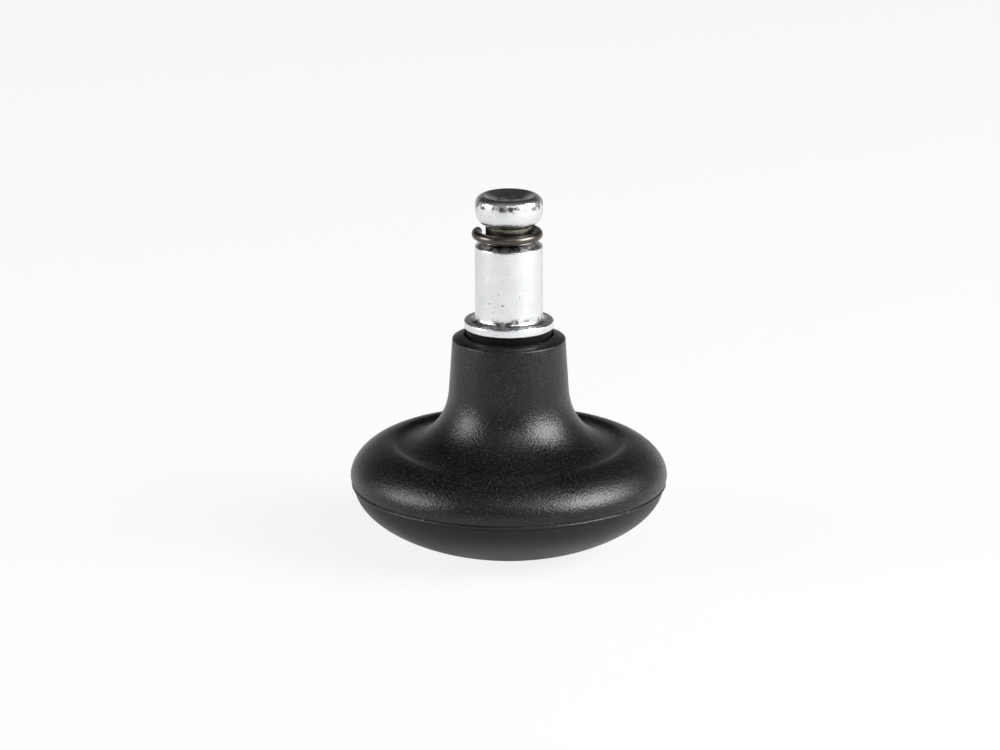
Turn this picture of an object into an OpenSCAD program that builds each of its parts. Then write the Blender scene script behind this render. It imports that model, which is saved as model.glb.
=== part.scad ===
// Swivelling bell glide with a plug-in stem and a spring grip ring.
// +Z is up, the origin is where the stem's axis meets the floor, and sizes are in millimetres.

/* [Base] */
// Diameter of the base at its widest
base_d = 51.6; // [46:0.2:70]
// Height of the widest point above the floor
widest_z = 11.8; // [11.4:0.1:13]
// Height of the joint between the two mouldings
joint_z = 10.2; // [9.6:0.1:10.6]
// Height of the rounded rim's crest
crest_z = 17.55; // [17.3:0.05:19]
// Distance from the widest point in to the crest
crest_inset = 6.4; // [5:0.1:8]
// Diameter of the flat patch that meets the floor
contact_d = 18; // [14:0.5:24]
// Wall thickness of both mouldings
wall = 2.3; // [1.8:0.1:2.8]
// Thickness of the stiffening ribs
rib_t = 1.8; // [1.2:0.1:2.4]
// Number of ribs, and of snap hooks between them
rib_count = 6; // [4:1:8]

/* [Neck] */
// Diameter of the neck at its top edge
neck_d = 18.3; // [17.6:0.1:22]
// Diameter of the neck where the flare begins
neck_foot_d = 19.4; // [18.6:0.1:24]
// Height at which the flare begins
neck_foot_z = 26.8; // [25:0.1:28]
// Height of the neck's mouth
neck_top_z = 35.5; // [29.5:0.1:45]
// Drop from the mouth to the neck's top edge
neck_slope = 0.6; // [0.3:0.1:1]

/* [Stem] */
// Diameter of the shank that plugs into the chair
shank_d = 11; // [9.2:0.1:13.2]
// Reach of the stem above its flange
stem_reach = 20.8; // [18:0.1:30]
// Diameter of the flange
flange_d = 14.5; // [13.4:0.1:17]
// Thickness of the flange
flange_t = 1.4; // [1:0.1:2]
// Gap between the flange and the neck's mouth
flange_gap = 1; // [0.5:0.1:2]
// Fillet where the shank meets the flange
foot_fillet = 1; // [0.4:0.1:1.4]
// Diameter of the plain part that turns in the bush
pivot_d = 9; // [7.5:0.1:10.8]

/* [Head] */
// Height of the head above its underside
head_h = 4.4; // [4:0.1:6]
// Radius of the head's upper shoulder
crown_r = 1.5; // [1:0.1:2]
// Radius under the head
chin_r = 1.2; // [0.8:0.1:1.6]
// Depth of the dish in the head's top
dish_depth = 0.9; // [0.4:0.1:1.2]
// Height of the open part of the ring's groove
groove_h = 2.7; // [2.6:0.1:5]
// Height of the cone below the groove
cone_h = 1.2; // [0.8:0.1:1.6]

/* [Grip ring] */
// Diameter of the spring wire
wire_d = 1.5; // [1.2:0.05:1.8]
// How far the ring stands out from the shank when it is central
ring_proud = 0.25; // [0.1:0.05:0.4]
// Sideways play of the ring on the groove, to each side
ring_play = 0.45; // [0.35:0.05:0.6]
// How far the ring lies off centre at rest
ring_offset = 0.28; // [0:0.01:0.3]
// Open angle of the ring
ring_open = 50; // [20:1:90]
// Direction of the ring's front end
ring_end = 158; // [0:1:359]

/* [Bush and retainer] */
// Wall of the bush
bush_wall = 1.45; // [1:0.05:1.8]
// Width of the bush's collar beyond its barrel
collar_w = 0.9; // [0.6:0.1:1]
// Depth of the neck's counterbore under its mouth
counterbore_h = 0.8; // [0.6:0.1:1.2]
// Thickness of the washer
washer_t = 1; // [0.8:0.1:1.2]
// Thickness of the clip
clip_t = 0.9; // [0.7:0.1:1]

/* [Clearances] */
// Radial clearance of the pivot in the bush
running_gap = 0.05; // [0.02:0.01:0.1]
// Radial clearance of the bush in the neck
seat_gap = 0.03; // [0.01:0.01:0.05]
// Axial clearance between the turning and the fixed pieces
thrust_gap = 0.05; // [0.02:0.01:0.1]
// Shadow line between the two mouldings
seam_gap = 0.12; // [0.05:0.01:0.2]
// Clearance of the snap hooks in the upper moulding
hook_gap = 0.15; // [0.1:0.01:0.25]

/* [Hidden] */
$fn = 96;
STEPS = 12;                              // points along each outside curve
ROUGH_STEPS = 4;                         // points along each hidden curve
BITE = 1;                                // how far a cutter runs past what it cuts

// Upper moulding's outline
base_r = base_d / 2;
under_rim = 0.3;                         // how far the wall draws in below the widest point
valley_depth = 0.4;
valley_w = 1.6;
crest_r = base_r - crest_inset;
valley_r = crest_r - valley_w;
valley_z = crest_z - valley_depth;
neck_edge_z = neck_top_z - neck_slope;
neck_draft = (neck_foot_d - neck_d) / 2 / (neck_edge_z - neck_foot_z);
flare_pull = 7;                          // handles of the curves
valley_pull = 2;
crest_pull = 0.7;
rim_pull_in = crest_inset * 0.44;
rim_pull_up = (crest_z - widest_z) * 0.49;

// Lower moulding's outline
joint_step = 0.22;                       // the lower moulding's edge stands this far in
contact_r = contact_d / 2;
sole_r = base_r - under_rim - joint_step;
sole_pull = 4.6;
floor_pull = 8.7;
floor_angle = 11;

// Snap joint
register_r = base_r - under_rim - wall;
register_top = joint_z + 3.4;
spigot_t = 1.65;
spigot_r = register_r - hook_gap;
spigot_top = joint_z + 1.6;
hook_top = joint_z + 3.2;
hook_nose = 0.6;
hook_arc = 24;
groove_bottom = joint_z + 1.8;
groove_top = joint_z + 3;
rib_z = joint_z + 3.8;

// Bush, washer, clip and the boss that holds them
pivot_r = pivot_d / 2;
bush_r = pivot_r + running_gap + bush_wall;
collar_r = bush_r + collar_w;
counterbore_r = collar_r + 0.7;
chamber_top = 16;
boss_end_z = joint_z + 2.3;
washer_r = pivot_r + 2.5;
chamber_r = washer_r + 0.9;
boss_r = chamber_r + 2.6;
collar_z = neck_top_z - counterbore_h;
washer_top = chamber_top - thrust_gap;
clip_gap = 0.05;
clip_top = washer_top - washer_t - clip_gap;
clip_seat_r = pivot_r - 1;
clip_r = pivot_r + 2;
pivot_end = clip_top - clip_t - clip_gap - 1.1;

// Stem
shank_r = shank_d / 2;
flange_z = neck_top_z + flange_gap;
foot_z = flange_z + flange_t;
head_z = foot_z + stem_reach - head_h;
ring_groove_z = head_z - groove_h;
shank_top = ring_groove_z - cone_h;
edge_round = 0.3;
dish_r = shank_r - crown_r;

// Grip ring
ring_r = shank_r + ring_proud - wire_d / 2;
ring_groove_r = ring_r - wire_d / 2 - ring_play;
ring_z = ring_groove_z + 0.6;

// A point of the cubic curve through four control points, and its direction there
function curve_point(p, t) = pow(1 - t, 3) * p[0] + 3 * t * pow(1 - t, 2) * p[1]
    + 3 * t * t * (1 - t) * p[2] + pow(t, 3) * p[3];
function curve_slope(p, t) = pow(1 - t, 2) * (p[1] - p[0]) + 2 * t * (1 - t) * (p[2] - p[1])
    + t * t * (p[3] - p[2]);
function inward(v) = [v[1], -v[0]] / norm(v);
// A point of the curve moved towards the inside by inset, and a row of them after the first
function inset_point(p, t, inset) = curve_point(p, t) + inset * inward(curve_slope(p, t));
function curve(p, inset, steps) = [for (i = [1:steps]) inset_point(p, i / steps, inset)];
// Points along an arc about c
function arc(c, r, from, to, steps = 8) = [for (i = [0:steps])
    let (a = from + (to - from) * i / steps) c + r * [cos(a), sin(a)]];

// Curves of the upper moulding, from the neck's foot down to its lower edge
FLARE = [[neck_foot_d / 2, neck_foot_z],
         [neck_foot_d / 2 + flare_pull * neck_draft, neck_foot_z - flare_pull],
         [valley_r - valley_pull, valley_z], [valley_r, valley_z]];
RISE = [[valley_r, valley_z], [valley_r + crest_pull, valley_z],
        [crest_r - crest_pull, crest_z], [crest_r, crest_z]];
RIM = [[crest_r, crest_z], [crest_r + rim_pull_in, crest_z],
       [base_r, widest_z + rim_pull_up], [base_r, widest_z]];
TUCK = [[base_r, widest_z], [base_r, widest_z - 0.6],
        [base_r - under_rim * 0.6, joint_z + 0.5], [base_r - under_rim, joint_z]];
// The lower moulding's curve, from its edge down to the flat patch
BOWL = [[sole_r, joint_z - seam_gap], [sole_r - 0.5, joint_z - sole_pull],
        [contact_r + floor_pull * cos(floor_angle), floor_pull * sin(floor_angle)],
        [contact_r, 0]];

// The upper moulding's side, outside and at a depth in the wall, where the valley is a plain slope
function outside() = concat([FLARE[0]], curve(FLARE, 0, STEPS), curve(RISE, 0, STEPS / 2),
    curve(RIM, 0, STEPS), curve(TUCK, 0, STEPS / 3));
function roof(depth, from_r, from_z) = [for (p = concat(curve(FLARE, depth, ROUGH_STEPS),
    curve(RISE, depth, 1), curve(RIM, depth, ROUGH_STEPS))) if (p[0] > from_r && p[1] > from_z) p];
function bowl_side(inset, steps) = concat([inset_point(BOWL, 0, inset)], curve(BOWL, inset, steps));

module ring_of(inner, outer, bottom, top) {
    translate([inner, bottom]) square([outer - inner, top - bottom]);
}

module around(count, offset = 0) {
    for (i = [0:count - 1])
        rotate([0, 0, (i + offset) * 360 / count]) children();
}

// Section of the upper moulding's outside, filled to the axis
module bell_outline() {
    polygon(concat([[0, joint_z], [0, neck_top_z], [counterbore_r + edge_round, neck_top_z]],
        arc([neck_d / 2 - edge_round, neck_edge_z - edge_round], edge_round, 60, 0, 4),
        outside()));
}

// Section of the hollow between the boss and the wall
module bell_hollow() {
    top = roof(wall, boss_r, register_top);
    polygon(concat([[boss_r, joint_z - BITE], [boss_r, top[0][1]]], top,
        [[register_r, register_top], [register_r, joint_z - BITE]]));
}

// A thin upright plate with this outline, standing on the axis
module plate(points) {
    rotate([90, 0, 0]) linear_extrude(rib_t, center = true) polygon(points);
}

module bell_ribs() {
    start = boss_r - 0.5;
    top = roof(wall / 2, start, rib_z);
    around(rib_count, 0.5) plate(concat([[start, rib_z], [start, top[0][1]]], top,
        [[top[len(top) - 1][0], rib_z]]));
}

module bell_housing() {
    color("#26272a") difference() {
        union() {
            difference() {
                rotate_extrude() bell_outline();
                rotate_extrude() bell_hollow();
            }
            bell_ribs();
        }
        rotate_extrude() ring_of(register_r - BITE, register_r + hook_nose + hook_gap,
            groove_bottom, groove_top);
        translate([0, 0, joint_z - BITE]) cylinder(r = boss_r + BITE, h = boss_end_z - joint_z + BITE);
        translate([0, 0, joint_z]) cylinder(r = chamber_r, h = chamber_top - joint_z);
        translate([0, 0, joint_z]) cylinder(r = bush_r + seat_gap, h = neck_top_z);
        translate([0, 0, collar_z]) cylinder(r = counterbore_r, h = neck_top_z);
        translate([0, 0, neck_top_z - edge_round])
            cylinder(r1 = counterbore_r, r2 = counterbore_r + edge_round, h = edge_round);
    }
}

// Height of the lower moulding's mid-wall at a radius
function mid_wall(r) = wall / 2 + lookup(r, bowl_side(0, STEPS));

// A collar that stands on the lower moulding's wall
module standing_ring(inner, outer, top) {
    rotate_extrude() polygon([[inner, mid_wall(inner)], [outer, mid_wall(outer)],
        [outer, top], [inner, top]]);
}

module snap_hooks() {
    inside = spigot_r - spigot_t + 0.15;
    outside = spigot_r - 0.1;
    nose_r = spigot_r + hook_nose;
    nose_z = groove_bottom + hook_gap;
    around(rib_count) rotate([0, 0, -hook_arc / 2]) rotate_extrude(angle = hook_arc)
        polygon([[inside, spigot_top - BITE], [outside, spigot_top - BITE], [outside, nose_z],
            [nose_r, nose_z], [nose_r, nose_z + hook_gap], [outside, hook_top],
            [inside + 0.5, hook_top], [inside, hook_top - 0.5]]);
}

module sole_ribs() {
    start = boss_r - 1;
    reach = spigot_r - spigot_t + 0.5;
    foot = [for (i = [0:8]) let (r = start + (reach - start) * i / 8) [r, mid_wall(r)]];
    around(rib_count, 0.5)
        plate(concat(foot, [[reach, joint_z - 2], [start, joint_z - 2]]));
}

module glide_sole() {
    color("#2f3033") {
        rotate_extrude() polygon(concat(bowl_side(0, STEPS), [[0, 0], [0, wall]],
            [for (i = [ROUGH_STEPS:-1:1]) inset_point(BOWL, i / ROUGH_STEPS, wall)],
            [[sole_r - wall, joint_z - seam_gap]]));
        standing_ring(spigot_r - spigot_t, spigot_r, spigot_top);
        standing_ring(chamber_r + 0.4, boss_r - 0.2, boss_end_z);
        snap_hooks();
        sole_ribs();
    }
}

module stem_bush() {
    color("#1b1b1d") difference() {
        union() {
            translate([0, 0, chamber_top]) cylinder(r = bush_r, h = collar_z - chamber_top + BITE);
            translate([0, 0, collar_z]) cylinder(r = collar_r, h = flange_z - thrust_gap - collar_z);
        }
        translate([0, 0, chamber_top - BITE])
            cylinder(r = pivot_r + running_gap, h = flange_z - chamber_top + 2 * BITE);
    }
}

module swivel_stem() {
    flange_r = flange_d / 2;
    clip_groove = clip_top + clip_gap;
    color("#cfd3d6") difference() {
        rotate_extrude() polygon(concat(
            [[0, pivot_end], [pivot_r - 0.6, pivot_end], [pivot_r, pivot_end + 0.6]],
            [[pivot_r, clip_groove - clip_t - 2 * clip_gap],
             [clip_seat_r, clip_groove - clip_t - 2 * clip_gap],
             [clip_seat_r, clip_groove], [pivot_r, clip_groove]],
            [[pivot_r, flange_z]],
            arc([flange_r - edge_round, flange_z + edge_round], edge_round, -90, 0, 4),
            [[flange_r, foot_z - 0.1], [flange_r - 0.1, foot_z]],
            arc([shank_r + foot_fillet, foot_z + foot_fillet], foot_fillet, 270, 180),
            arc([shank_r - edge_round, shank_top - edge_round], edge_round, 0, 50, 4),
            [[ring_groove_r, ring_groove_z], [ring_groove_r, head_z]],
            arc([shank_r - chin_r, head_z + chin_r], chin_r, -90, 0),
            arc([dish_r, head_z + head_h - crown_r], crown_r, 0, 90),
            [[0, head_z + head_h]]));
        dish_ball = (dish_r * dish_r + dish_depth * dish_depth) / (2 * dish_depth);
        translate([0, 0, head_z + head_h - dish_depth + dish_ball]) sphere(r = dish_ball);
    }
}

module retaining_washer() {
    color("#b9bdc0") translate([0, 0, washer_top - washer_t]) difference() {
        cylinder(r = washer_r, h = washer_t);
        translate([0, 0, -BITE]) cylinder(r = pivot_r + 0.2, h = washer_t + 2 * BITE);
    }
}

// Open clip: three lugs grip the groove, and the slot lets it slide on from the side
module retaining_clip() {
    slot_w = 1.7 * clip_seat_r;
    color("#5b5e61") translate([0, 0, clip_top - clip_t]) linear_extrude(clip_t) difference() {
        circle(r = clip_r);
        circle(r = clip_seat_r + clip_gap);
        translate([0, -slot_w / 2]) square([clip_r + BITE, slot_w]);
        for (side = [-1, 1])
            rotate(side * 128) translate([clip_seat_r - BITE, -0.9]) square([2, 1.8]);
    }
}

module grip_ring() {
    color("#3b3733") translate([-ring_offset, 0, ring_z]) rotate([0, 0, ring_end])
        rotate_extrude(angle = 360 - ring_open) translate([ring_r, 0]) circle(r = wire_d / 2);
}

bell_housing();
glide_sole();
stem_bush();
swivel_stem();
retaining_washer();
retaining_clip();
grip_ring();
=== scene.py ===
import bmesh
import bpy
import math
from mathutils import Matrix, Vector, noise


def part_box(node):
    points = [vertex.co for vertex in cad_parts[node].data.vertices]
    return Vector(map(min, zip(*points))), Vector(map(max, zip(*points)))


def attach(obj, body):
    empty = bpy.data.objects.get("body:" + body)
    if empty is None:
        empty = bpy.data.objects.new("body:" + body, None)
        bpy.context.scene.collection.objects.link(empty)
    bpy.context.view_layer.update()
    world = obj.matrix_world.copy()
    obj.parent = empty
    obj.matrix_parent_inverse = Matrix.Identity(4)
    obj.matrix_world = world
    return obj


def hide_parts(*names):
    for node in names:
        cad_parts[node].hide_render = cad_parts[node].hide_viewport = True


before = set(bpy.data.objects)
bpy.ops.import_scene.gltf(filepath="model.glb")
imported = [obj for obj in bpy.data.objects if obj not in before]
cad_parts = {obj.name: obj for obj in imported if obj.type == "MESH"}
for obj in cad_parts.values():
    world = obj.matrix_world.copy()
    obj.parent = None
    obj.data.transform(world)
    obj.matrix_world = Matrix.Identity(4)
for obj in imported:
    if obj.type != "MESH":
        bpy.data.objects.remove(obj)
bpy.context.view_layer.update()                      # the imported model, in metres, +Z up
scene = bpy.context.scene
mm = 0.001


# Small helpers
def cubic(p, t):
    # a point of the cubic curve through four control points
    k = (1 - t) ** 3, 3 * t * (1 - t) ** 2, 3 * t * t * (1 - t), t ** 3
    return tuple(sum(w * q[i] for w, q in zip(k, p)) for i in (0, 1))


def cubicInset(p, t, depth):
    # the same point moved into the wall, square to the curve
    ahead, behind = cubic(p, min(1, t + 0.001)), cubic(p, max(0, t - 0.001))
    dr, dz = ahead[0] - behind[0], ahead[1] - behind[1]
    size = math.hypot(dr, dz)
    r, z = cubic(p, t)
    return r + depth * dz / size, z - depth * dr / size


def along(p, steps, depth=0):
    # points along a curve after its first
    return [cubicInset(p, i / steps, depth) for i in range(1, steps + 1)]


def arc(centre, radius, start, end, steps=6):
    turns = [math.radians(start + (end - start) * i / steps) for i in range(steps + 1)]
    return [(centre[0] + radius * math.cos(a), centre[1] + radius * math.sin(a)) for a in turns]


def rounded(points, radius, steps=4):
    # a closed outline with every corner eased by up to this radius
    out = []
    for i, p in enumerate(points):
        a, b = points[i - 1], points[(i + 1) % len(points)]
        la, lb = math.dist(p, a), math.dist(p, b)
        cut = min(radius, la / 2.2, lb / 2.2)
        start = tuple(p[k] + (a[k] - p[k]) * cut / la for k in (0, 1))
        end = tuple(p[k] + (b[k] - p[k]) * cut / lb for k in (0, 1))
        out += [cubic((start, p, p, end), i / steps) for i in range(steps + 1)]
    return out


def nodeAdder(tree):
    def add(kind, values=None, **settings):
        node = tree.nodes.new(kind)
        for key, value in settings.items():
            setattr(node, key, value)
        for key, value in (values or {}).items():
            if isinstance(value, bpy.types.NodeSocket):
                tree.links.new(value, node.inputs[key])
            else:
                node.inputs[key].default_value = value
        return node
    return add


def sockets(tree, ins, outs):
    for name, kind in ins:
        tree.interface.new_socket(name, in_out="INPUT", socket_type="NodeSocket" + kind)
    for name, kind in outs:
        tree.interface.new_socket(name, in_out="OUTPUT", socket_type="NodeSocket" + kind)


# Trees that make the shapes
def makeTurnedTree():
    # sweeps an outline, drawn as (radius, height), once round the axis
    tree = bpy.data.node_groups.new("turnedBody", "GeometryNodeTree")
    sockets(tree, [("Outline", "Geometry"), ("Segments", "Int"), ("Finish", "Material")],
            [("Body", "Geometry")])
    add = nodeAdder(tree)
    given = add("NodeGroupInput").outputs
    points = add("GeometryNodeAttributeDomainSize", {0: given["Outline"]}).outputs["Point Count"]
    columns = add("ShaderNodeMath", {0: given["Segments"], 1: 1}, operation="ADD").outputs[0]
    grid = add("GeometryNodeMeshGrid", {"Vertices X": columns, "Vertices Y": points})
    index = add("GeometryNodeInputIndex").outputs[0]
    share = add("ShaderNodeMath", {0: index, 1: points}, operation="DIVIDE").outputs[0]
    column = add("ShaderNodeMath", {0: share}, operation="FLOOR").outputs[0]
    row = add("ShaderNodeMath", {0: index, 1: points}, operation="MODULO").outputs[0]
    place = add("GeometryNodeInputPosition").outputs[0]
    drawn = add("GeometryNodeSampleIndex", data_type="FLOAT_VECTOR")
    tree.links.new(given["Outline"], drawn.inputs["Geometry"])
    tree.links.new(place, drawn.inputs["Value"])
    tree.links.new(row, drawn.inputs["Index"])
    step = add("ShaderNodeMath", {0: column, 1: given["Segments"]}, operation="DIVIDE").outputs[0]
    angle = add("ShaderNodeMath", {0: step, 1: 2 * math.pi}, operation="MULTIPLY").outputs[0]
    turned = add("ShaderNodeVectorRotate", {"Vector": drawn.outputs["Value"], "Angle": angle},
                 rotation_type="Z_AXIS").outputs[0]
    moved = add("GeometryNodeSetPosition", {"Geometry": grid.outputs["Mesh"], "Position": turned})
    sewn = add("GeometryNodeMergeByDistance", {"Geometry": moved.outputs[0], "Distance": 2e-7})
    real = add("GeometryNodeRealizeInstances", {0: sewn.outputs[0]})
    done = add("GeometryNodeSetMaterial", {"Geometry": real.outputs[0], "Material": given["Finish"]})
    add("NodeGroupOutput", {0: done.outputs[0]})
    return tree


def makeRoundTree():
    # sets copies of one part evenly round the axis
    tree = bpy.data.node_groups.new("partsRoundAxis", "GeometryNodeTree")
    sockets(tree, [("Part", "Geometry"), ("Count", "Int"), ("First Angle", "Float"),
                   ("Finish", "Material")], [("Parts", "Geometry")])
    add = nodeAdder(tree)
    given = add("NodeGroupInput").outputs
    spots = add("GeometryNodeMeshLine", {"Count": given["Count"], "Offset": (0, 0, 0)})
    index = add("GeometryNodeInputIndex").outputs[0]
    share = add("ShaderNodeMath", {0: index, 1: given["Count"]}, operation="DIVIDE").outputs[0]
    turn = add("ShaderNodeMath", {0: share, 1: 2 * math.pi}, operation="MULTIPLY").outputs[0]
    angle = add("ShaderNodeMath", {0: turn, 1: given["First Angle"]}, operation="ADD").outputs[0]
    facing = add("ShaderNodeCombineXYZ", {"Z": angle}).outputs[0]
    copies = add("GeometryNodeInstanceOnPoints",
                 {"Points": spots.outputs[0], "Instance": given["Part"], "Rotation": facing})
    real = add("GeometryNodeRealizeInstances", {0: copies.outputs[0]})
    done = add("GeometryNodeSetMaterial", {"Geometry": real.outputs[0], "Material": given["Finish"]})
    add("NodeGroupOutput", {0: done.outputs[0]})
    return tree


def makeWireRingTree():
    # a split ring bent from round wire, with its cut ends eased
    tree = bpy.data.node_groups.new("splitWireRing", "GeometryNodeTree")
    sockets(tree, [("Ring Radius", "Float"), ("Wire Radius", "Float"), ("Start", "Float"),
                   ("Sweep", "Float"), ("End Ease", "Float"), ("Centre", "Vector"),
                   ("Finish", "Material")], [("Ring", "Geometry")])
    add = nodeAdder(tree)
    given = add("NodeGroupInput").outputs
    path = add("GeometryNodeCurveArc", {"Resolution": 260, "Radius": given["Ring Radius"],
               "Start Angle": given["Start"], "Sweep Angle": given["Sweep"]}, mode="RADIUS")
    run = add("GeometryNodeSplineParameter").outputs["Length"]
    whole = add("ShaderNodeMath", {0: given["Ring Radius"], 1: given["Sweep"]},
                operation="MULTIPLY").outputs[0]
    left = add("ShaderNodeMath", {0: whole, 1: run}, operation="SUBTRACT").outputs[0]
    nearest = add("ShaderNodeMath", {0: run, 1: left}, operation="MINIMUM").outputs[0]
    ease = add("ShaderNodeMapRange", {"Value": nearest, "From Max": given["End Ease"],
               "To Min": 0.72, "To Max": 1.0}, interpolation_type="SMOOTHERSTEP").outputs[0]
    eased = add("GeometryNodeSetCurveRadius", {"Curve": path.outputs["Curve"], "Radius": ease})
    section = add("GeometryNodeCurvePrimitiveCircle",
                  {"Resolution": 40, "Radius": given["Wire Radius"]}, mode="RADIUS")
    wire = add("GeometryNodeCurveToMesh", {"Curve": eased.outputs[0],
               "Profile Curve": section.outputs["Curve"], "Fill Caps": True})
    if "Scale" in wire.inputs:
        tree.links.new(ease, wire.inputs["Scale"])
    put = add("GeometryNodeTransform", {"Geometry": wire.outputs[0], "Translation": given["Centre"]})
    real = add("GeometryNodeRealizeInstances", {0: put.outputs[0]})
    done = add("GeometryNodeSetMaterial", {"Geometry": real.outputs[0], "Material": given["Finish"]})
    add("NodeGroupOutput", {0: done.outputs[0]})
    return tree


turnedTree = makeTurnedTree()
roundTree = makeRoundTree()
wireRingTree = makeWireRingTree()


def grow(name, mesh, tree, values, sharpAt=35):
    # runs a tree on a mesh, and keeps the result as one plain closed mesh
    obj = bpy.data.objects.new(name, mesh)
    scene.collection.objects.link(obj)
    mod = obj.modifiers.new("grow", "NODES")
    mod.node_group = tree
    for item in tree.interface.items_tree:
        if item.in_out == "INPUT" and item.name in values:
            mod[item.identifier] = values[item.name]
    bpy.context.view_layer.update()
    graph = bpy.context.evaluated_depsgraph_get()
    made = bpy.data.meshes.new_from_object(obj.evaluated_get(graph))
    obj.modifiers.remove(mod)
    obj.data = made
    made.name = name
    work = bmesh.new()
    work.from_mesh(made)
    bmesh.ops.remove_doubles(work, verts=work.verts, dist=2e-7)
    bmesh.ops.recalc_face_normals(work, faces=work.faces)
    for face in work.faces:
        face.smooth = True
    work.to_mesh(made)
    work.free()
    made.set_sharp_from_angle(angle=math.radians(sharpAt))
    return obj


def turned(name, outline, finish, segments, closed=True, sharpAt=35):
    # outline is a list of (radius, height) in millimetres
    points = [(r * mm, 0, z * mm) for r, z in outline]
    if closed:
        points.append(points[0])
    mesh = bpy.data.meshes.new(name)
    mesh.from_pydata(points, [(i, i + 1) for i in range(len(points) - 1)], [])
    return grow(name, mesh, turnedTree, {"Segments": segments, "Finish": finish}, sharpAt)


def prism(name, outline, placePoint, steps):
    # a closed solid: one outline repeated at each step, with its two ends filled
    work = bmesh.new()
    rows = [[work.verts.new(placePoint(p, s)) for p in outline] for s in steps]
    for a, b in zip(rows, rows[1:]):
        for i in range(len(outline)):
            j = (i + 1) % len(outline)
            work.faces.new((a[i], a[j], b[j], b[i]))
    work.faces.new(rows[0][::-1])
    work.faces.new(rows[-1])
    bmesh.ops.recalc_face_normals(work, faces=work.faces)
    mesh = bpy.data.meshes.new(name)
    work.to_mesh(mesh)
    work.free()
    return mesh


# Effects that more than one material uses
def makeGrainGroup():
    # spark-eroded grain: packed pits, with a finer tooth on top
    tree = bpy.data.node_groups.new("sparkGrain", "ShaderNodeTree")
    sockets(tree, [("Vector", "Vector"), ("Pits Per Metre", "Float"), ("Tooth", "Float")],
            [("Height", "Float"), ("Peaks", "Float")])
    add = nodeAdder(tree)
    given = add("NodeGroupInput").outputs
    wander = add("ShaderNodeTexNoise", {"Vector": given["Vector"], "Scale": 900, "Detail": 1})
    drift = add("ShaderNodeVectorMath", {0: wander.outputs["Color"], 1: (0.00035,) * 3},
                operation="MULTIPLY").outputs[0]
    bent = add("ShaderNodeVectorMath", {0: given["Vector"], 1: drift}, operation="ADD").outputs[0]
    pits = add("ShaderNodeTexVoronoi", {"Vector": bent, "Scale": given["Pits Per Metre"]},
               feature="SMOOTH_F1")
    double = add("ShaderNodeMath", {0: given["Pits Per Metre"], 1: 1.9}, operation="MULTIPLY")
    tooth = add("ShaderNodeTexNoise", {"Vector": bent, "Scale": double.outputs[0], "Detail": 3,
                "Roughness": 0.65})
    fine = add("ShaderNodeMath", {0: tooth.outputs["Fac"], 1: given["Tooth"]}, operation="MULTIPLY")
    height = add("ShaderNodeMath", {0: pits.outputs["Distance"], 1: fine.outputs[0]},
                 operation="ADD")
    peaks = add("ShaderNodeMapRange", {"Value": tooth.outputs["Fac"], "From Min": 0.57,
                "From Max": 0.68}, interpolation_type="SMOOTHSTEP")
    add("NodeGroupOutput", {"Height": height.outputs[0], "Peaks": peaks.outputs[0]})
    return tree


def makeHandlingGroup():
    # faint patches from handling, and fine settled dust on what faces up
    tree = bpy.data.node_groups.new("handlingAndDust", "ShaderNodeTree")
    sockets(tree, [("Vector", "Vector"), ("Patch Scale", "Float"), ("Dust Amount", "Float")],
            [("Patches", "Float"), ("Dust", "Float")])
    add = nodeAdder(tree)
    given = add("NodeGroupInput").outputs
    broad = add("ShaderNodeTexNoise", {"Vector": given["Vector"], "Scale": given["Patch Scale"],
                "Detail": 4, "Roughness": 0.55, "Distortion": 0.6})
    patches = add("ShaderNodeMapRange", {"Value": broad.outputs["Fac"], "From Min": 0.35,
                  "From Max": 0.7}, interpolation_type="SMOOTHSTEP")
    specks = add("ShaderNodeTexNoise", {"Vector": given["Vector"], "Scale": 2600, "Detail": 2})
    sharp = add("ShaderNodeMapRange", {"Value": specks.outputs["Fac"], "From Min": 0.62,
                "From Max": 0.7})
    normal = add("ShaderNodeNewGeometry").outputs["Normal"]
    up = add("ShaderNodeSeparateXYZ", {0: normal}).outputs["Z"]
    level = add("ShaderNodeMapRange", {"Value": up, "From Min": 0.1, "From Max": 1.0})
    lying = add("ShaderNodeMath", {0: sharp.outputs[0], 1: level.outputs[0]},
                operation="MULTIPLY")
    dust = add("ShaderNodeMath", {0: lying.outputs[0], 1: given["Dust Amount"]},
               operation="MULTIPLY")
    add("NodeGroupOutput", {"Patches": patches.outputs[0], "Dust": dust.outputs[0]})
    return tree


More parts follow.
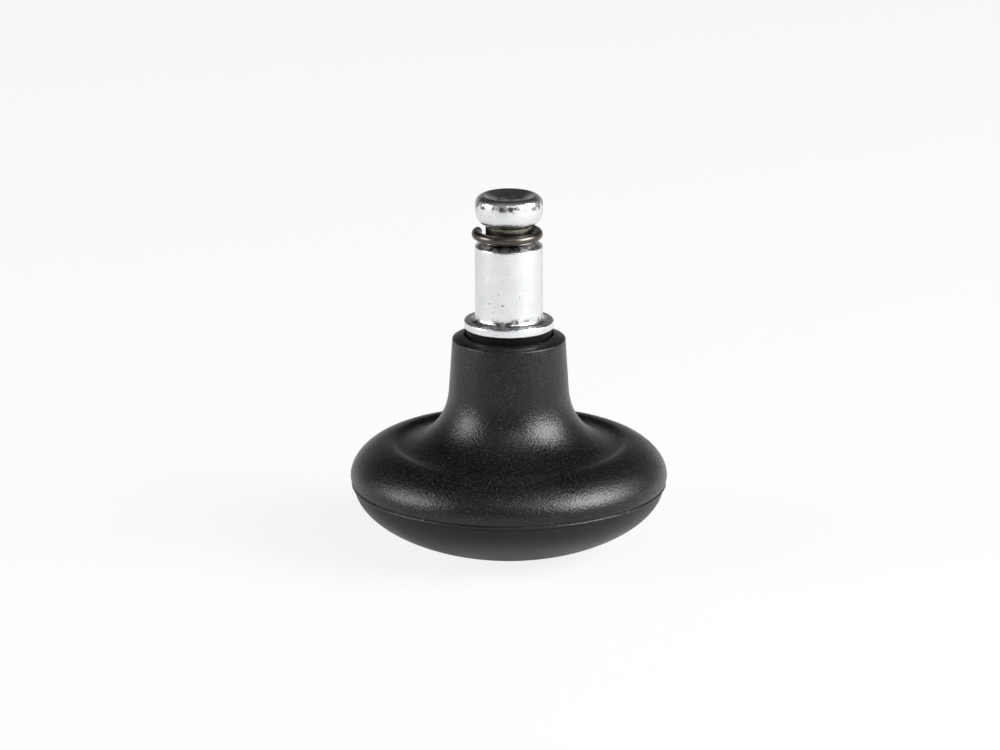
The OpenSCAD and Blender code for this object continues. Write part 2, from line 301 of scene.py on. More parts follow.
def makePlatingGroup():
    # plated steel: soft orange peel under the plate, small pits and a few dark specks
    tree = bpy.data.node_groups.new("platedSurface", "ShaderNodeTree")
    sockets(tree, [("Vector", "Vector"), ("Peel Scale", "Float"), ("Speck Amount", "Float")],
            [("Height", "Float"), ("Specks", "Float"), ("Clouds", "Float")])
    add = nodeAdder(tree)
    given = add("NodeGroupInput").outputs
    peel = add("ShaderNodeTexNoise", {"Vector": given["Vector"], "Scale": given["Peel Scale"],
               "Detail": 3, "Roughness": 0.5})
    spots = add("ShaderNodeTexNoise", {"Vector": given["Vector"], "Scale": 1500, "Detail": 3,
                "Roughness": 0.6})
    zones = add("ShaderNodeTexNoise", {"Vector": given["Vector"], "Scale": 170, "Detail": 1})
    where = add("ShaderNodeMapRange", {"Value": zones.outputs["Fac"], "From Min": 0.38,
                "From Max": 0.55})
    dark = add("ShaderNodeMapRange", {"Value": spots.outputs["Fac"], "From Min": 0.66,
               "From Max": 0.73})
    both = add("ShaderNodeMath", {0: dark.outputs[0], 1: where.outputs[0]}, operation="MULTIPLY")
    specks = add("ShaderNodeMath", {0: both.outputs[0], 1: given["Speck Amount"]},
                 operation="MULTIPLY", use_clamp=True)
    sink = add("ShaderNodeMath", {0: specks.outputs[0], 1: -0.6, 2: peel.outputs["Fac"]},
               operation="MULTIPLY_ADD")
    clouds = add("ShaderNodeTexNoise", {"Vector": given["Vector"], "Scale": 320, "Detail": 5,
                 "Roughness": 0.6})
    add("NodeGroupOutput", {"Height": sink.outputs[0], "Specks": specks.outputs[0],
                            "Clouds": clouds.outputs["Fac"]})
    return tree


grainGroup = makeGrainGroup()
handlingGroup = makeHandlingGroup()
platingGroup = makePlatingGroup()


def startMaterial(name):
    mat = bpy.data.materials.new(name)
    mat.use_nodes = True
    mat.node_tree.nodes.clear()
    add = nodeAdder(mat.node_tree)
    place = add("ShaderNodeTexCoord").outputs["Object"]
    return mat, add, place


def useGroup(add, group, values):
    node = add("ShaderNodeGroup", node_tree=group)
    for key, value in values.items():
        if isinstance(value, bpy.types.NodeSocket):
            node.id_data.links.new(value, node.inputs[key])
        else:
            node.inputs[key].default_value = value
    return node.outputs


def blendColours(add, share, first, second):
    mix = add("ShaderNodeMix", data_type="RGBA")
    links = mix.id_data.links
    links.new(share, mix.inputs["Factor"])
    for socket, value in ((mix.inputs[6], first), (mix.inputs[7], second)):
        if isinstance(value, bpy.types.NodeSocket):
            links.new(value, socket)
        else:
            socket.default_value = (*value, 1)
    return mix.outputs[2]


def spread(add, share, low, high):
    return add("ShaderNodeMapRange", {"Value": share, "To Min": low, "To Max": high}).outputs[0]


def finishMaterial(mat, add, values):
    shader = add("ShaderNodeBsdfPrincipled", values)
    add("ShaderNodeOutputMaterial", {"Surface": shader.outputs[0]})
    return mat


# Materials
def makeGrainedPlastic():
    look = {"deep": (0.002, 0.002, 0.0021), "peak": (0.07, 0.07, 0.068),
            "dust": (0.06, 0.06, 0.06), "rough": (0.27, 0.34), "polish": -0.1, "bump": 1.0,
            "depth": 0.04 * mm, "pits": 2900, "tooth": 0.9, "specular": 0.4}
    mat, add, place = startMaterial("grainedPlastic")
    grain = useGroup(add, grainGroup, {"Vector": place, "Pits Per Metre": look["pits"],
                                     "Tooth": look["tooth"]})
    worn = useGroup(add, handlingGroup, {"Vector": place, "Patch Scale": 90, "Dust Amount": 0.1})
    # the grain's tips are painted lighter: partly the grain's own tone, partly painted glints
    base = blendColours(add, grain["Peaks"], look["deep"], look["peak"])
    colour = blendColours(add, worn["Dust"], base, look["dust"])
    bump = add("ShaderNodeBump", {"Height": grain["Height"], "Strength": look["bump"],
               "Distance": look["depth"]})
    rough = add("ShaderNodeMath", {0: grain["Peaks"], 1: look["polish"],
                2: spread(add, worn["Patches"], *look["rough"])}, operation="MULTIPLY_ADD")
    return finishMaterial(mat, add, {
        "Base Color": colour, "Roughness": rough.outputs[0], "Normal": bump.outputs[0],
        "Specular IOR Level": look["specular"]})


def makeSatinPlastic():
    look = {"deep": (0.008, 0.008, 0.008), "peak": (0.012, 0.012, 0.0115),
            "rough": (0.3, 0.4), "bump": 0.5, "depth": 0.03 * mm, "pits": 3400, "tooth": 0.5,
            "specular": 0.25}
    mat, add, place = startMaterial("satinPlastic")
    grain = useGroup(add, grainGroup, {"Vector": place, "Pits Per Metre": look["pits"],
                                     "Tooth": look["tooth"]})
    worn = useGroup(add, handlingGroup, {"Vector": place, "Patch Scale": 60, "Dust Amount": 0.1})
    colour = blendColours(add, worn["Patches"], look["deep"], look["peak"])
    bump = add("ShaderNodeBump", {"Height": grain["Height"], "Strength": look["bump"],
               "Distance": look["depth"]})
    return finishMaterial(mat, add, {
        "Base Color": colour, "Roughness": spread(add, worn["Patches"], *look["rough"]),
        "Normal": bump.outputs[0], "Specular IOR Level": look["specular"]})


def makeBushPlastic():
    # black plastic, made near-black and dull as painted shade for the gap under the stem's flange
    look = {"deep": (0.0015, 0.0015, 0.0016), "peak": (0.003, 0.003, 0.003),
            "rough": (0.5, 0.62), "specular": 0.12}
    mat, add, place = startMaterial("bushPlastic")
    worn = useGroup(add, handlingGroup, {"Vector": place, "Patch Scale": 300, "Dust Amount": 0.1})
    colour = blendColours(add, worn["Patches"], look["deep"], look["peak"])
    return finishMaterial(mat, add, {
        "Base Color": colour, "Roughness": spread(add, worn["Patches"], *look["rough"]),
        "Specular IOR Level": look["specular"]})


def fromAxis(add, place):
    # distance from the stem's axis, and height
    x, y, z = add("ShaderNodeSeparateXYZ", {0: place}).outputs
    flat = add("ShaderNodeCombineXYZ", {"X": x, "Y": y})
    length = add("ShaderNodeVectorMath", {0: flat.outputs[0]}, operation="LENGTH")
    return length.outputs["Value"], z


def paintedGrooveShadeMask(add, place, look):
    # near 1 inside the ring's groove, with upright streaks, and 0 elsewhere: where the groove is
    # painted darker as painted shade
    reach, z = fromAxis(add, place)
    above = add("ShaderNodeMath", {0: z, 1: look["grooveFrom"]}, operation="GREATER_THAN")
    below = add("ShaderNodeMath", {0: z, 1: look["grooveTo"]}, operation="LESS_THAN")
    inner = add("ShaderNodeMath", {0: reach, 1: look["grooveR"]}, operation="LESS_THAN")
    level = add("ShaderNodeMath", {0: above.outputs[0], 1: below.outputs[0]}, operation="MULTIPLY")
    inside = add("ShaderNodeMath", {0: level.outputs[0], 1: inner.outputs[0]},
                 operation="MULTIPLY")
    pulled = add("ShaderNodeVectorMath", {0: place, 1: (1, 1, 0.25)}, operation="MULTIPLY")
    streak = add("ShaderNodeTexNoise", {"Vector": pulled.outputs[0], "Scale": 1500, "Detail": 3})
    cover = spread(add, streak.outputs["Fac"], 0.7, 1.1)
    return add("ShaderNodeMath", {0: inside.outputs[0], 1: cover}, operation="MULTIPLY",
               use_clamp=True).outputs[0]


def paintedShadeAndReflectionMask(add, place, bands, dish):
    # ragged painted dark reflections and painted shade, kept to bands of height and to the middle of
    # the head's dish
    reach, z = fromAxis(add, place)
    middle = add("ShaderNodeMapRange", {"Value": reach, "From Min": dish["solid"] * mm,
                 "From Max": dish["gone"] * mm, "To Min": 1.0, "To Max": 0.0})
    above = add("ShaderNodeMath", {0: z, 1: dish["from"] * mm}, operation="GREATER_THAN")
    marks = add("ShaderNodeTexNoise", {"Vector": place, "Scale": 800, "Detail": 5,
                "Roughness": 0.65})
    ragged = add("ShaderNodeMapRange", {"Value": marks.outputs["Fac"], "From Min": 0.485,
                 "From Max": 0.61}).outputs[0]
    zone = add("ShaderNodeMath", {0: middle.outputs[0], 1: above.outputs[0]},
               operation="MULTIPLY").outputs[0]
    for low, high in bands:
        half = (high - low) / 2 * mm
        away = add("ShaderNodeMath", {0: z, 1: low * mm + half}, operation="SUBTRACT").outputs[0]
        near = add("ShaderNodeMath", {0: away}, operation="ABSOLUTE").outputs[0]
        band = add("ShaderNodeMapRange", {"Value": near, "From Min": 0.5 * half,
                   "From Max": 1.2 * half, "To Min": 1.0, "To Max": 0.0}).outputs[0]
        zone = add("ShaderNodeMath", {0: zone, 1: band}, operation="MAXIMUM").outputs[0]
    return add("ShaderNodeMath", {0: zone, 1: ragged}, operation="MULTIPLY").outputs[0]


def makeZincSteel():
    look = {"plate": (0.94, 0.95, 0.96), "cloud": (0.62, 0.64, 0.66), "speck": (0.12, 0.12, 0.12),
            "paintedGrooveShade": (0.16, 0.15, 0.11), "rough": (0.19, 0.3), "bump": 1.0, "depth": 0.07 * mm,
            "paintedShadeAndReflection": (0.1, 0.1, 0.102), "dish": {"solid": 1.6, "gone": 3.4, "from": 57.2},
            "shadeAndReflectionBands": ((37.8, 39.3), (50.2, 51.6), (56.9, 58.15)),
            "grooveFrom": 51.2 * mm, "grooveTo": 54.6 * mm, "grooveR": 4.4 * mm,
            "peel": 1500, "specks": 1.0, "cloudiness": 0.8}
    mat, add, place = startMaterial("zincSteel")
    plate = useGroup(add, platingGroup, {"Vector": place, "Peel Scale": look["peel"],
                                         "Speck Amount": look["specks"]})
    cloudy = spread(add, plate["Clouds"], 0.0, look["cloudiness"])
    plated = blendColours(add, cloudy, look["plate"], look["cloud"])
    grooveShade = paintedGrooveShadeMask(add, place, look)    # painted shade: the ring's groove is painted darker
    base = blendColours(add, grooveShade, plated, look["paintedGrooveShade"])
    speckled = blendColours(add, plate["Specks"], base, look["speck"])
    paintedShadeAndReflections = paintedShadeAndReflectionMask(add, place, look["shadeAndReflectionBands"], look["dish"])
    # painted dark reflections and painted shade on the stem's foot fillet, shoulder, crown and dish
    # middle
    colour = blendColours(add, paintedShadeAndReflections, speckled, look["paintedShadeAndReflection"])
    bump = add("ShaderNodeBump", {"Height": plate["Height"], "Strength": look["bump"],
               "Distance": look["depth"]})
    return finishMaterial(mat, add, {
        "Base Color": colour, "Metallic": 1.0, "Normal": bump.outputs[0],
        "Roughness": spread(add, plate["Clouds"], *look["rough"])})


def makeSpringSteel():
    look = {"oxide": (0.075, 0.064, 0.055), "rubbed": (0.165, 0.15, 0.138),
            "rough": (0.24, 0.36), "bump": 0.2, "depth": 0.01 * mm, "peel": 2400,
            "specks": 0.5, "cloudiness": 0.7}
    mat, add, place = startMaterial("springSteel")
    plate = useGroup(add, platingGroup, {"Vector": place, "Peel Scale": look["peel"],
                                         "Speck Amount": look["specks"]})
    cloudy = spread(add, plate["Clouds"], 0.0, look["cloudiness"])
    colour = blendColours(add, cloudy, look["oxide"], look["rubbed"])
    bump = add("ShaderNodeBump", {"Height": plate["Height"], "Strength": look["bump"],
               "Distance": look["depth"]})
    return finishMaterial(mat, add, {
        "Base Color": colour, "Metallic": 1.0, "Normal": bump.outputs[0],
        "Roughness": spread(add, plate["Clouds"], *look["rough"])})


grainedPlastic = makeGrainedPlastic()
satinPlastic = makeSatinPlastic()
bushPlastic = makeBushPlastic()
zincSteel = makeZincSteel()
springSteel = makeSpringSteel()
print("materials made")


# The upper moulding, and the ribs under it
def radiusOf(node):
    # how far the node reaches from the axis, on its least side
    low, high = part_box(node)
    return min(-low.x, high.x, -low.y, high.y) / mm


bellLow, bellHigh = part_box("bell_housing")
bell = {"baseR": radiusOf("bell_housing"), "jointZ": bellLow.z / mm, "mouthZ": bellHigh.z / mm,
        "widestZ": 11.8, "crestZ": 17.42, "crestInset": 6.4, "valleyDepth": 0.4, "valleyW": 1.6,
        "neckR": 9.2, "footR": 9.74, "footZ": 26.3, "slope": 0.6, "edge": 0.3, "mouthR": 7.2,
        "mouthDepth": 0.8, "boreR": 6.03, "bossR": 10.5, "bossZ": 12.5, "chamberR": 7.9,
        "chamberZ": 16, "wall": 2.3, "tuck": 0.3, "registerZ": 13.6, "ribs": 6, "ribT": 1.8,
        "ribBite": 0.5, "ribZ": 14, "segments": 360, "ease": 0.05, "bead": 0.22, "beadProud": 0.15,
        "wander": 0.07, "wanderScale": 900, "wanderDepth": 0.5, "grooveLow": 12.0,
        "grooveHigh": 13.2, "grooveDeep": 0.75, "flarePull": 7, "valleyPull": 2,
        "crestPull": 0.7, "rimPullIn": 0.44, "rimPullUp": 0.49, "tuckPull": 0.6,
        "tuckOut": 0.12, "tuckRise": 0.8}


def bellCurves(b):
    crestR = b["baseR"] - b["crestInset"]
    valleyR, valleyZ = crestR - b["valleyW"], b["crestZ"] - b["valleyDepth"]
    draft = (b["footR"] - b["neckR"]) / (b["mouthZ"] - b["slope"] - b["footZ"])
    flare = ((b["footR"], b["footZ"]),
             (b["footR"] + b["flarePull"] * draft, b["footZ"] - b["flarePull"]),
             (valleyR - b["valleyPull"], valleyZ), (valleyR, valleyZ))
    rise = ((valleyR, valleyZ), (valleyR + b["crestPull"], valleyZ),
            (crestR - b["crestPull"], b["crestZ"]), (crestR, b["crestZ"]))
    rim = ((crestR, b["crestZ"]), (crestR + b["crestInset"] * b["rimPullIn"], b["crestZ"]),
           (b["baseR"], b["widestZ"] + (b["crestZ"] - b["widestZ"]) * b["rimPullUp"]),
           (b["baseR"], b["widestZ"]))
    edgeR = b["baseR"] - b["tuck"]
    tuck = ((b["baseR"], b["widestZ"]), (b["baseR"], b["widestZ"] - b["tuckPull"]),
            (edgeR + b["tuckOut"], b["jointZ"] + b["tuckRise"]),
            (edgeR, b["jointZ"] + 2 * b["bead"]))
    return flare, rise, rim, tuck


def makeBell(b):
    flare, rise, rim, tuck = bellCurves(b)
    edgeZ = b["mouthZ"] - b["slope"]
    outside = arc((b["mouthR"] + b["edge"], b["mouthZ"] - b["edge"]), b["edge"], 180, 90)
    outside += arc((b["neckR"] - b["edge"], edgeZ - b["edge"]), b["edge"], 62, 4)
    outside += [flare[0]] + along(flare, 34) + along(rise, 12) + along(rim, 30) + along(tuck, 8)
    registerR = b["baseR"] - b["tuck"] - b["wall"]
    edgeR = b["baseR"] - b["tuck"]
    beadAt = (edgeR - b["bead"] + b["beadProud"], b["jointZ"] + b["bead"])
    outside += arc(beadAt, b["bead"], 62, -80, 7)
    foot = [(edgeR - b["ease"], b["jointZ"]), (registerR + b["ease"], b["jointZ"]),
            (registerR, b["jointZ"] + b["ease"])]
    grooveR = registerR + b["grooveDeep"]
    groove = [(registerR, b["grooveLow"]), (grooveR, b["grooveLow"]), (grooveR, b["grooveHigh"]),
              (registerR, b["grooveHigh"]), (registerR, b["registerZ"])]
    roof = along(flare, 10, b["wall"]) + along(rise, 2, b["wall"]) + along(rim, 10, b["wall"])
    roof = [p for p in roof if p[0] > b["bossR"] and p[1] > b["registerZ"]][::-1]
    boss = [(b["bossR"], roof[-1][1]), (b["bossR"], b["bossZ"]), (b["chamberR"], b["bossZ"]),
            (b["chamberR"], b["chamberZ"]), (b["boreR"], b["chamberZ"]),
            (b["boreR"], b["mouthZ"] - b["mouthDepth"]),
            (b["mouthR"], b["mouthZ"] - b["mouthDepth"])]
    outline = outside + foot + groove + roof + boss
    shell = turned("bellShell", outline, grainedPlastic, b["segments"])
    for point in shell.data.vertices:      # the bead along the joint wanders a little
        share = 1 - abs(point.co.z / mm - b["jointZ"] - b["bead"]) / b["bead"]
        reach = math.hypot(point.co.x, point.co.y)
        if share > 0 and reach > (edgeR - b["wanderDepth"]) * mm:
            spot = Vector((point.co.x, point.co.y, 0)) * b["wanderScale"]
            push = noise.noise(spot) * b["wander"] * mm * share
            point.co.x *= 1 + push / reach
            point.co.y *= 1 + push / reach
    return shell


def ribPlate(name, outline, thickness):
    # an upright plate on the X axis, with its outline in (x, z)
    half = thickness / 2
    return prism(name, outline, lambda p, s: (p[0] * mm, s * mm, p[1] * mm), (-half, half))


def makeBellRibs(b):
    flare, rise, rim, tuck = bellCurves(b)
    start = b["bossR"] - b["ribBite"]
    middle = b["wall"] / 2
    top = along(flare, 8, middle) + along(rise, 1, middle) + along(rim, 8, middle)
    top = [p for p in top if p[0] > start and p[1] > b["ribZ"]]
    plate = ribPlate("bellRib", [(start, b["ribZ"]), (start, top[0][1])] + top
                     + [(top[-1][0], b["ribZ"])], b["ribT"])
    return grow("bellRibs", plate, roundTree, {"Count": b["ribs"], "Finish": grainedPlastic,
                "First Angle": math.pi / b["ribs"]})


bellShell = makeBell(bell)
bellRibs = makeBellRibs(bell)
for piece in (bellShell, bellRibs):
    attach(piece, "bell")
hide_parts("bell_housing")
print("bell made")


# The lower moulding, with its snap hooks and ribs
sole = {"edgeR": radiusOf("glide_sole"), "topZ": 10.17, "contactR": 9, "wall": 2.3,
        "pull": 4.6, "floorPull": 8.7, "floorAngle": 11, "spigotR": 23.05, "spigotT": 1.65,
        "spigotZ": 11.8, "seatIn": 8.3, "seatOut": 10.3, "seatZ": 12.5, "hooks": 6, "hookArc": 24,
        "hookZ": 13.4, "hookRoot": 1, "hookIn": 0.15, "hookOut": 0.1, "hookBevel": 0.5,
        "noseZ": 12.15, "nose": 0.6, "noseLip": 0.15, "ribT": 1.8, "ribZ": 8.2, "ribIn": 0.8,
        "ribOut": 0.5, "segments": 256, "ease": 0.1, "apart": 0.1}


def bowlCurve(s):
    lean = math.radians(s["floorAngle"])
    return ((s["edgeR"], s["topZ"] - s["ease"]), (s["edgeR"] - 0.5, s["topZ"] - s["pull"]),
            (s["contactR"] + s["floorPull"] * math.cos(lean), s["floorPull"] * math.sin(lean)),
            (s["contactR"], 0))


def bowlHeight(s, radius, depth):
    # height of the bowl's wall, at a depth inside it, over a radius
    points = [cubicInset(bowlCurve(s), i / 60, depth) for i in range(61)]
    near = min(points, key=lambda p: abs(p[0] - radius))
    return near[1] if radius > points[-1][0] else depth


def makeSole(s):
    bowl = bowlCurve(s)
    inside = along(bowl, 24, s["wall"])
    spigotIn = s["spigotR"] - s["spigotT"]
    outline = [(s["edgeR"] - s["ease"], s["topZ"])]
    outline += arc((s["edgeR"] - s["ease"], s["topZ"] - s["ease"]), s["ease"], 78, 6, 4)
    outline += [bowl[0]] + along(bowl, 40) + [(0, 0), (0, s["wall"])]
    outline += [(s["seatIn"], s["wall"]), (s["seatIn"], s["seatZ"]), (s["seatOut"], s["seatZ"]),
                (s["seatOut"], bowlHeight(s, s["seatOut"], s["wall"]))]
    fits = (s["seatOut"] + s["apart"], spigotIn - s["apart"])
    outline += [p for p in inside[::-1] if fits[0] < p[0] < fits[1]]
    outline += [(spigotIn, bowlHeight(s, spigotIn, s["wall"])), (spigotIn, s["spigotZ"]),
                (s["spigotR"], s["spigotZ"]), (s["spigotR"], s["topZ"])]
    return turned("soleBowl", outline, satinPlastic, s["segments"])


def makeHooks(s):
    inner = s["spigotR"] - s["spigotT"] + s["hookIn"]
    outer = s["spigotR"] - s["hookOut"]
    noseR, root = s["spigotR"] + s["nose"], s["spigotZ"] - s["hookRoot"]
    outline = [(inner, root), (outer, root), (outer, s["noseZ"]), (noseR, s["noseZ"]),
               (noseR, s["noseZ"] + s["noseLip"]), (outer, s["hookZ"]),
               (inner + s["hookBevel"], s["hookZ"]), (inner, s["hookZ"] - s["hookBevel"])]
    turns = [math.radians(s["hookArc"] * (i / 8 - 0.5)) for i in range(9)]
    hook = prism("snapHook", outline,
                 lambda p, a: (p[0] * mm * math.cos(a), p[0] * mm * math.sin(a), p[1] * mm), turns)
    return grow("snapHooks", hook, roundTree, {"Count": s["hooks"], "Finish": satinPlastic,
                "First Angle": 0.0})


def makeSoleRibs(s):
    start, reach = s["seatOut"] - s["ribIn"], s["spigotR"] - s["spigotT"] + s["ribOut"]
    foot = [start + (reach - start) * i / 10 for i in range(11)]
    outline = [(r, bowlHeight(s, r, s["wall"] / 2)) for r in foot]
    plate = ribPlate("soleRib", outline + [(reach, s["ribZ"]), (start, s["ribZ"])], s["ribT"])
    return grow("soleRibs", plate, roundTree, {"Count": s["hooks"], "Finish": satinPlastic,
                "First Angle": math.pi / s["hooks"]})


soleBowl = makeSole(sole)
snapHooks = makeHooks(sole)
soleRibs = makeSoleRibs(sole)
for piece in (soleBowl, snapHooks, soleRibs):
    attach(piece, "bell")
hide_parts("glide_sole")
print("sole made")


# The bush, the stem and what holds the stem
bushLow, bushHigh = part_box("stem_bush")
bush = {"collarR": radiusOf("stem_bush"), "bottomZ": bushLow.z / mm, "topZ": bushHigh.z / mm,
        "barrelR": 6.0, "boreR": 4.55, "collarZ": bellHigh.z / mm - bell["mouthDepth"],
        "round": 0.15, "segments": 128}


def makeBush(b):
    outline = rounded([(b["boreR"], b["bottomZ"]), (b["barrelR"], b["bottomZ"]),
                       (b["barrelR"], b["collarZ"]), (b["collarR"], b["collarZ"]),
                       (b["collarR"], b["topZ"]), (b["boreR"], b["topZ"])], b["round"])
    return turned("stemBush", outline, bushPlastic, b["segments"])


stemLow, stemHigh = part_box("swivel_stem")
stem = {"bottomZ": stemLow.z / mm, "topZ": stemHigh.z / mm, "flangeR": radiusOf("swivel_stem"),
        "flangeZ": bellHigh.z / mm + 1, "flangeT": 1.4, "shankR": 5.5, "pivotR": 4.5,
        "fillet": 1.0, "coneTop": 51.6, "cone": 1.2, "grooveR": 3.8, "headZ": 54.0,
        "chin": 1.5, "chinH": 2.4,
        "crown": 1.5, "dish": 0.9, "clipR": 3.5, "clipLow": 13.95, "clipHigh": 14.95,
        "chamfer": 0.6, "flangeLow": 0.35, "flangeHigh": 0.18, "edge": 0.3, "runOut": 1.4,
        "dishLip": 0.1, "lipDrop": 0.03, "segments": 192}


def makeStem(s):
    top, shank = s["topZ"], s["shankR"]
    flange, foot = s["flangeR"], s["flangeZ"] + s["flangeT"]
    outline = [(0, s["bottomZ"]), (s["pivotR"] - s["chamfer"], s["bottomZ"]),
               (s["pivotR"], s["bottomZ"] + s["chamfer"]), (s["pivotR"], s["clipLow"]),
               (s["clipR"], s["clipLow"]), (s["clipR"], s["clipHigh"]),
               (s["pivotR"], s["clipHigh"]), (s["pivotR"], s["flangeZ"])]
    low, high, edge = s["flangeLow"], s["flangeHigh"], s["edge"]
    outline += arc((flange - low, s["flangeZ"] + low), low, -90, 0)
    outline += arc((flange - high, foot - high), high, 0, 90, 5)
    outline += arc((shank + s["fillet"], foot + s["fillet"]), s["fillet"], 270, 180, 12)
    shoulder = s["coneTop"] - s["cone"]
    plain = shoulder - foot - s["runOut"]
    outline += [(shank, foot + s["fillet"] + plain * i / 8) for i in range(1, 8)]
    outline += arc((shank - edge, shoulder - edge), edge, 0, 50, 6)
    outline += arc((s["grooveR"] + edge, s["coneTop"] + edge), edge, 234, 180, 5)
    outline += arc((s["grooveR"] + edge, s["headZ"] - edge), edge, 180, 90, 5)
    chin = arc((0, 0), 1, -90, 0, 12)
    outline += [(shank + s["chin"] * (x - 1), s["headZ"] + s["chinH"] * (1 + z)) for x, z in chin]
    outline += arc((shank - s["crown"], top - s["crown"]), s["crown"], 0, 84, 16)
    dishR = shank - s["crown"] - s["dishLip"]
    ball = (dishR ** 2 + s["dish"] ** 2) / (2 * s["dish"])
    lip = math.degrees(math.asin(dishR / ball))
    leans = [math.radians(lip * (1 - i / 14)) for i in range(15)]
    outline += [(ball * math.sin(a), top - s["lipDrop"] - s["dish"] + ball - ball * math.cos(a))
                for a in leans]
    return turned("swivelStem", outline, zincSteel, s["segments"], closed=False, sharpAt=40)


washerLow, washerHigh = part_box("retaining_washer")
washer = {"outR": radiusOf("retaining_washer"), "inR": 4.7, "low": washerLow.z / mm,
          "high": washerHigh.z / mm, "round": 0.12, "segments": 96}


def makeWasher(w):
    outline = rounded([(w["inR"], w["low"]), (w["outR"], w["low"]), (w["outR"], w["high"]),
                       (w["inR"], w["high"])], w["round"])
    return turned("retainingWasher", outline, zincSteel, w["segments"])


def wearFinish(node, finish):
    # gives a carried-over CAD piece its finish, with its mesh left as it is
    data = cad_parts[node].data
    data.materials.clear()
    data.materials.append(finish)


stemBush = makeBush(bush)
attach(stemBush, "bell")
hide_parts("stem_bush")
swivelStem = makeStem(stem)
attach(swivelStem, "stem")
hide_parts("swivel_stem")
retainingWasher = makeWasher(washer)
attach(retainingWasher, "stem")
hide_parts("retaining_washer")
wearFinish("retaining_clip", springSteel)
print("stem, bush and retainer made")


# The grip ring
ringLow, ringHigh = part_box("grip_ring")
ring = {"wireR": (ringHigh.z - ringLow.z) / 2, "outR": 5.75 * mm, "offset": -0.28 * mm,
        "start": 158, "open": 50, "ease": 0.35 * mm}


def makeGripRing(r):
    centre = (r["offset"], 0, (ringLow.z + ringHigh.z) / 2)
    seed = bpy.data.meshes.new("gripRingSeed")
    return grow("gripRing", seed, wireRingTree, {
        "Ring Radius": r["outR"] - r["wireR"], "Wire Radius": r["wireR"], "Centre": centre,
        "Start": math.radians(r["start"]), "Sweep": math.radians(360 - r["open"]),
        "End Ease": r["ease"], "Finish": springSteel}, 60)


gripRing = makeGripRing(ring)
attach(gripRing, "ring")
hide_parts("grip_ring")
print("grip ring made")


# The stage, the light and the camera
def makeFloor():
    mat = bpy.data.materials.new("paleFloor")
    mat.use_nodes = True
    mat.node_tree.nodes.clear()
    add = nodeAdder(mat.node_tree)
    path = add("ShaderNodeLightPath").outputs
    # the white is partly the floor's own and partly lit, so that the shadow stays
    look = {"seen": 0.86, "mirrored": 0.33, "matt": 0.66, "half": 3}
    shiny = add("ShaderNodeMath", {0: path["Is Glossy Ray"], 1: path["Is Transmission Ray"]},
                operation="MAXIMUM")
    mirrored = add("ShaderNodeMath", {0: shiny.outputs[0], 1: look["mirrored"]},
                   operation="MULTIPLY")
    seen = add("ShaderNodeMath", {0: path["Is Camera Ray"], 1: look["seen"]},
               operation="MULTIPLY")
    share = add("ShaderNodeMath", {0: seen.outputs[0], 1: mirrored.outputs[0]},
                operation="MAXIMUM")
    matt = add("ShaderNodeBsdfDiffuse", {"Color": (*(look["matt"],) * 3, 1)})
    white = add("ShaderNodeEmission", {"Color": (1, 1, 1, 1), "Strength": 1.0})
    both = add("ShaderNodeMixShader", {0: share.outputs[0], 1: matt.outputs[0],
               2: white.outputs[0]})
    add("ShaderNodeOutputMaterial", {"Surface": both.outputs[0]})
    mesh = bpy.data.meshes.new("floor")
    half = look["half"]
    mesh.from_pydata([(-half, -half, 0), (half, -half, 0), (half, half, 0), (-half, half, 0)],
                     [], [(0, 1, 2, 3)])
    mesh.materials.append(mat)
    floor = bpy.data.objects.new("floor", mesh)
    scene.collection.objects.link(floor)


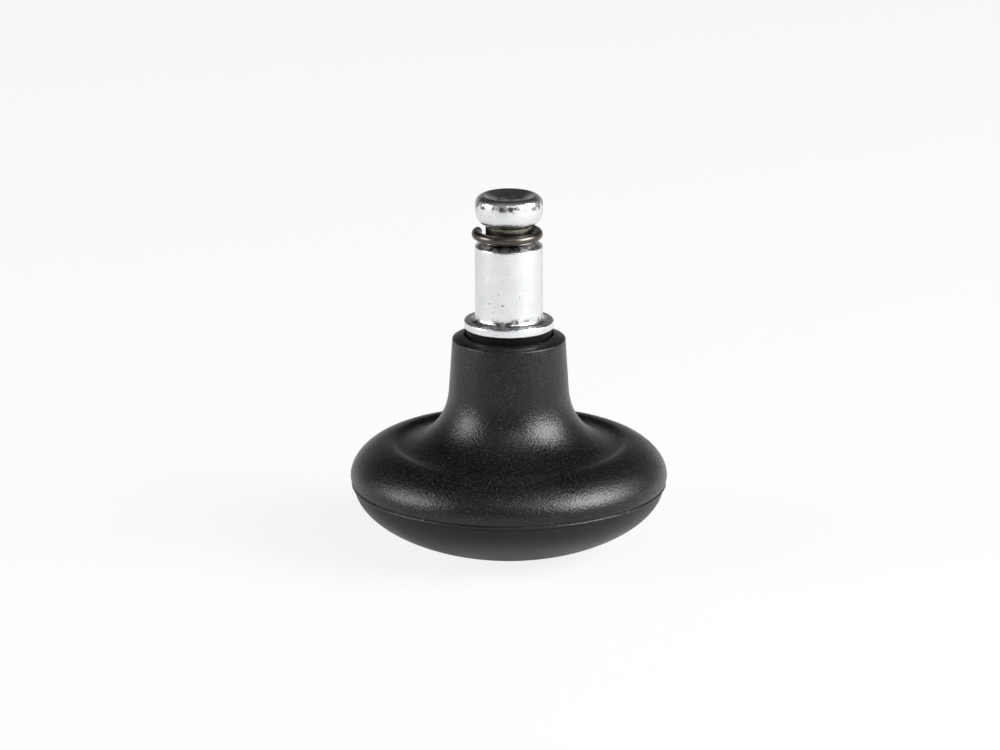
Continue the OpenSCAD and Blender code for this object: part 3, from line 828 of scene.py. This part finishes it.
def makeWorld():
    # white to the camera. Reflections see a pale band at the horizon, and it is darker overhead
    look = {"horizon": (0.3, 0.3, 0.303), "front": (0.25, 0.25, 0.253),
            "behind": (0.03, 0.03, 0.031), "from": 0.1, "to": 0.5, "band": (0.6, 0.6, 0.6),
            "bandFrom": 0.02, "bandTo": 0.14}
    world = bpy.data.worlds.new("studio")
    world.use_nodes = True
    world.node_tree.nodes.clear()
    add = nodeAdder(world.node_tree)
    up = add("ShaderNodeSeparateXYZ", {0: add("ShaderNodeTexCoord").outputs["Generated"]})
    climb = add("ShaderNodeMapRange", {"Value": up.outputs["Z"], "From Min": look["from"],
                "From Max": look["to"]}, interpolation_type="SMOOTHSTEP").outputs[0]
    back = add("ShaderNodeMapRange", {"Value": up.outputs["Y"], "From Min": -0.5,
               "From Max": 0.35}, interpolation_type="SMOOTHSTEP").outputs[0]
    overhead = blendColours(add, back, look["front"], look["behind"])
    tent = blendColours(add, climb, look["horizon"], overhead)
    path = add("ShaderNodeLightPath").outputs
    shiny = add("ShaderNodeMath", {0: path["Is Glossy Ray"], 1: path["Is Transmission Ray"]},
                operation="MAXIMUM")
    low = add("ShaderNodeMapRange", {"Value": up.outputs["Z"], "From Min": look["bandFrom"],
              "From Max": look["bandTo"], "To Min": 1.0, "To Max": 0.0})
    band = add("ShaderNodeMath", {0: shiny.outputs[0], 1: low.outputs[0]}, operation="MULTIPLY")
    around = blendColours(add, band.outputs[0], tent, look["band"])
    colour = blendColours(add, path["Is Camera Ray"], around, (1, 1, 1))
    sky = add("ShaderNodeBackground", {"Color": colour, "Strength": 1.0})
    add("ShaderNodeOutputWorld", {"Surface": sky.outputs[0]})
    scene.world = world


def makeLamp(name, azimuth, elevation, distance, size, power):
    # azimuth 0 is the camera's side and 90 is to its right, in degrees, and power is in watts
    a, e = math.radians(azimuth), math.radians(elevation)
    data = bpy.data.lights.new(name, "AREA")
    data.shape = "RECTANGLE"
    data.size, data.size_y = size
    data.energy = power
    lamp = bpy.data.objects.new(name, data)
    lamp.location = (distance * math.sin(a) * math.cos(e), -distance * math.cos(a) * math.cos(e),
                     distance * math.sin(e) + 0.02)
    lamp.rotation_euler = (math.pi / 2 - e, 0, a)
    scene.collection.objects.link(lamp)


def makeCamera():
    shot = {"distance": 0.95, "elevation": 16, "lens": 210.7, "aim": (-1.44 * mm, 0, 28.5 * mm)}
    e = math.radians(shot["elevation"])
    data = bpy.data.cameras.new("camera")
    data.lens = shot["lens"]
    data.sensor_width = 36
    data.clip_start, data.clip_end = 0.05, 20
    camera = bpy.data.objects.new("camera", data)
    camera.location = (shot["aim"][0], -shot["distance"] * math.cos(e),
                       shot["aim"][2] + shot["distance"] * math.sin(e))
    camera.rotation_euler = (math.pi / 2 - e, 0, 0)
    scene.collection.objects.link(camera)
    scene.camera = camera


makeFloor()
makeWorld()
makeLamp("rightSoftbox", 70, 31, 0.8, (0.62, 0.4), 12.0)
makeLamp("leftSoftbox", -80, 22, 0.8, (0.42, 0.36), 4.6)
makeLamp("frontFill", 20, 48, 0.8, (0.5, 0.2), 0.8)
makeCamera()
scene.view_settings.view_transform = "Standard"
print("stage made")
